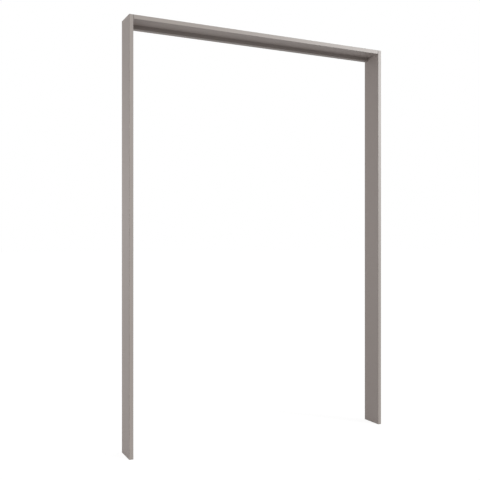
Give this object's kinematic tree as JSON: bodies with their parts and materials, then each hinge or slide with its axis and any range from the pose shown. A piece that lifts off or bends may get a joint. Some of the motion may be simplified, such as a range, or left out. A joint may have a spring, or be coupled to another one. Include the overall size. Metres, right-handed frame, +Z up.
{
  "type": "doorway surround",
  "caption": "Plain doorway surround of coated board: full-height jambs, a flush header between them and a square rail under the back of the header.",
  "frame": {"origin": "middle of the footprint on the floor, between the two feet", "axes": "+Z up, +X along the header to the right seen from the front, +Y towards the back"},
  "size_m": [1.598, 0.138, 2.3],
  "materials": {
    "coated_board": "satin",
    "edge_band": "satin",
    "foil_wrapped_batten": "satin",
    "screw_steel": "satin",
    "dowel_beech": "matte",
    "bolt_steel": "satin",
    "cam_zinc": "satin"
  },
  "bodies": {
    "root": {"left_jamb": "coated_board", "left_jamb_top_band": "edge_band", "left_jamb_foot_band": "edge_band", "left_jamb_front_band": "edge_band", "left_jamb_back_band": "edge_band", "right_jamb": "coated_board", "right_jamb_top_band": "edge_band", "right_jamb_foot_band": "edge_band", "right_jamb_front_band": "edge_band", "right_jamb_back_band": "edge_band", "header": "coated_board", "header_front_band": "edge_band", "header_back_band": "edge_band", "header_rail": "foil_wrapped_batten", "rail_screw_1": "screw_steel", "rail_screw_2": "screw_steel", "rail_screw_3": "screw_steel", "rail_screw_4": "screw_steel", "rail_screw_5": "screw_steel", "left_front_dowel": "dowel_beech", "left_back_dowel": "dowel_beech", "left_cam_bolt": "bolt_steel", "left_header_cam": "cam_zinc", "right_front_dowel": "dowel_beech", "right_back_dowel": "dowel_beech", "right_cam_bolt": "bolt_steel", "right_header_cam": "cam_zinc"}
  },
  "joints": []
}
